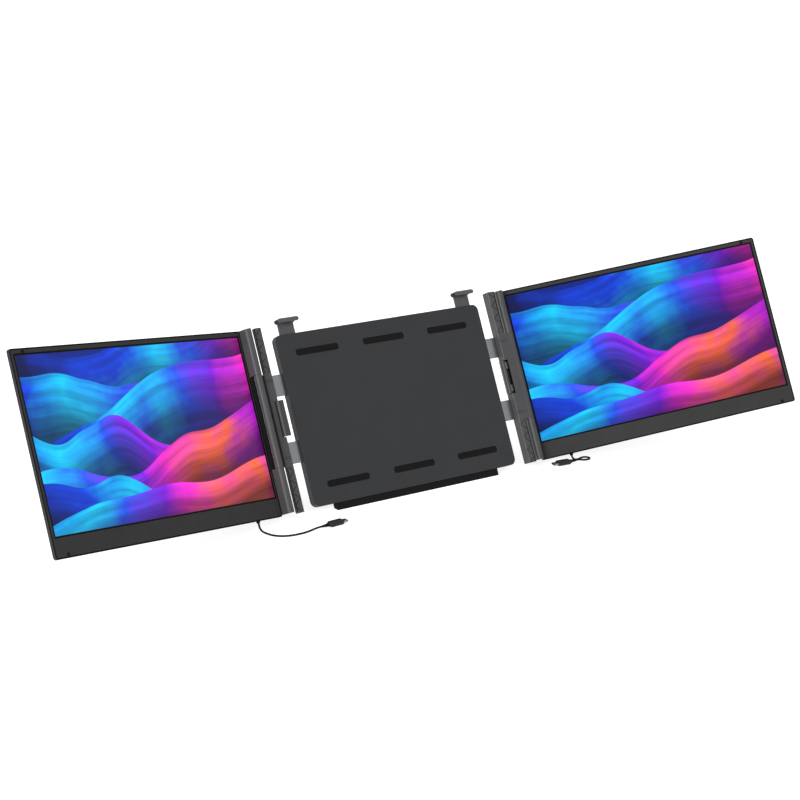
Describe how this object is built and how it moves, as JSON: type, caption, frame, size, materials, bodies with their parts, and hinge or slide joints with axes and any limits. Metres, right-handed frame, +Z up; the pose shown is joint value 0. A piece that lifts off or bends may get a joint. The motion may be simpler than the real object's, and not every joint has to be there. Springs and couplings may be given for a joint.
{
  "type": "laptop screen extender",
  "caption": "Clamp-on laptop screen extender: side screens on knuckle hinges, sliding columns with clips and top hooks, and a folding stand behind.",
  "frame": {"origin": "centre of the rubber foot's flat ground face, under the middle of the housing", "axes": "+X to the right seen from the front, +Y away from the viewer, +Z up; the bracket leans back about X"},
  "size_m": [1.0608, 0.221, 0.2607],
  "materials": {
    "housing_paint": "fine powder coat, satin",
    "column_paint": "anodised look, satin",
    "clip_paint": "satin",
    "steel": "brushed",
    "brass": "bare",
    "rubber": "matt",
    "bezel_plastic": "fine matt texture",
    "cover_plastic": "fine matt texture",
    "display": null,
    "backlight_sheet": "white sheet",
    "circuit_board": "coated board",
    "button_plastic": "satin",
    "plug_plastic": "fine matt texture"
  },
  "bodies": {
    "housing": {"front_plate": "housing_paint", "back_cover": "housing_paint", "lid_rest_pads": "rubber", "desk_foot": "rubber", "housing_screws": "steel", "arm_guide_studs": "steel", "hook_guide_studs": "steel", "stand_hinge_pin": "steel"},
    "stand": {"kickstand": "housing_paint", "kickstand_foot": "rubber"},
    "left_arm": {"left_arm_plate": "steel", "left_column": "column_paint", "left_column_screws": "steel", "left_friction_sleeves": "brass", "left_clip_pin": "steel"},
    "left_side_clip": {"left_clip": "clip_paint", "left_clip_pad": "rubber"},
    "left_top_hook": {"left_hook": "clip_paint", "left_hook_pad": "rubber"},
    "left_screen": {"left_bezel": "bezel_plastic", "left_rear_cover": "cover_plastic", "left_top_knuckle": "column_paint", "left_bottom_knuckle": "column_paint", "left_hinge_pins": "steel", "left_display_panel": "display", "left_backlight": "backlight_sheet", "left_driver_board": "circuit_board", "left_cable_gland": "rubber", "left_bumpers": "rubber", "left_screen_screws": "steel", "left_cable": "rubber", "left_plug_relief": "rubber", "left_cable_plug": "plug_plastic"},
    "left_power": {"left_power_button": "button_plastic"},
    "left_menu": {"left_menu_button": "button_plastic"},
    "right_arm": {"right_arm_plate": "steel", "right_column": "column_paint", "right_column_screws": "steel", "right_friction_sleeves": "brass", "right_clip_pin": "steel"},
    "right_side_clip": {"right_clip": "clip_paint", "right_clip_pad": "rubber"},
    "right_top_hook": {"right_hook": "clip_paint", "right_hook_pad": "rubber"},
    "right_screen": {"right_bezel": "bezel_plastic", "right_rear_cover": "cover_plastic", "right_top_knuckle": "column_paint", "right_bottom_knuckle": "column_paint", "right_hinge_pins": "steel", "right_display_panel": "display", "right_backlight": "backlight_sheet", "right_driver_board": "circuit_board", "right_cable_gland": "rubber", "right_bumpers": "rubber", "right_screen_screws": "steel", "right_cable": "rubber", "right_plug_relief": "rubber", "right_cable_plug": "plug_plastic"},
    "right_power": {"right_power_button": "button_plastic"},
    "right_menu": {"right_menu_button": "button_plastic"}
  },
  "joints": [
    {"name": "left_arm_slide", "type": "slide", "parent": "housing", "child": "left_arm", "axis": [1, 0, 0], "range_m": [-0.033, 0.004]},
    {"name": "right_arm_slide", "type": "slide", "parent": "housing", "child": "right_arm", "axis": [1, 0, 0], "range_m": [-0.004, 0.033]},
    {"name": "left_screen_hinge", "type": "hinge", "parent": "left_arm", "child": "left_screen", "pos_m": [-0.18835, 0.04262, 0.11848], "axis": [0, 0.4274, 0.9041], "range_deg": [-19.5, 160.5]},
    {"name": "right_screen_hinge", "type": "hinge", "parent": "right_arm", "child": "right_screen", "pos_m": [0.18835, 0.04913, 0.1154], "axis": [0, 0.4274, 0.9041], "range_deg": [-159, 21]},
    {"name": "left_clip_hinge", "type": "hinge", "parent": "left_arm", "child": "left_side_clip", "pos_m": [-0.1707, 0.04448, 0.10931], "axis": [0, 0.4274, 0.9041], "range_deg": [0, 110]},
    {"name": "right_clip_hinge", "type": "hinge", "parent": "right_arm", "child": "right_side_clip", "pos_m": [0.1707, 0.04448, 0.10931], "axis": [0, 0.4274, 0.9041], "range_deg": [0, 110]},
    {"name": "left_hook_slide", "type": "slide", "parent": "housing", "child": "left_top_hook", "axis": [0, 0.4274, 0.9041], "range_m": [-0.012, 0.022]},
    {"name": "right_hook_slide", "type": "slide", "parent": "housing", "child": "right_top_hook", "axis": [0, 0.4274, 0.9041], "range_m": [-0.012, 0.022]},
    {"name": "stand_hinge", "type": "hinge", "parent": "housing", "child": "stand", "pos_m": [0, 0.07337, 0.14819], "axis": [1, 0, 0], "range_deg": [-38.57, 0]},
    {"name": "left_power_press", "type": "slide", "parent": "left_screen", "child": "left_power", "axis": [0.3338, -0.8522, 0.4028], "range_m": [0, 0.0004], "stiffness_N_per_m": 2500, "springref_m": -0.0002},
    {"name": "left_menu_press", "type": "slide", "parent": "left_screen", "child": "left_menu", "axis": [0.3338, -0.8522, 0.4028], "range_m": [0, 0.0004], "stiffness_N_per_m": 2500, "springref_m": -0.0002},
    {"name": "right_power_press", "type": "slide", "parent": "right_screen", "child": "right_power", "axis": [-0.3584, -0.844, 0.399], "range_m": [0, 0.0004], "stiffness_N_per_m": 2500, "springref_m": -0.0002},
    {"name": "right_menu_press", "type": "slide", "parent": "right_screen", "child": "right_menu", "axis": [-0.3584, -0.844, 0.399], "range_m": [0, 0.0004], "stiffness_N_per_m": 2500, "springref_m": -0.0002}
  ]
}
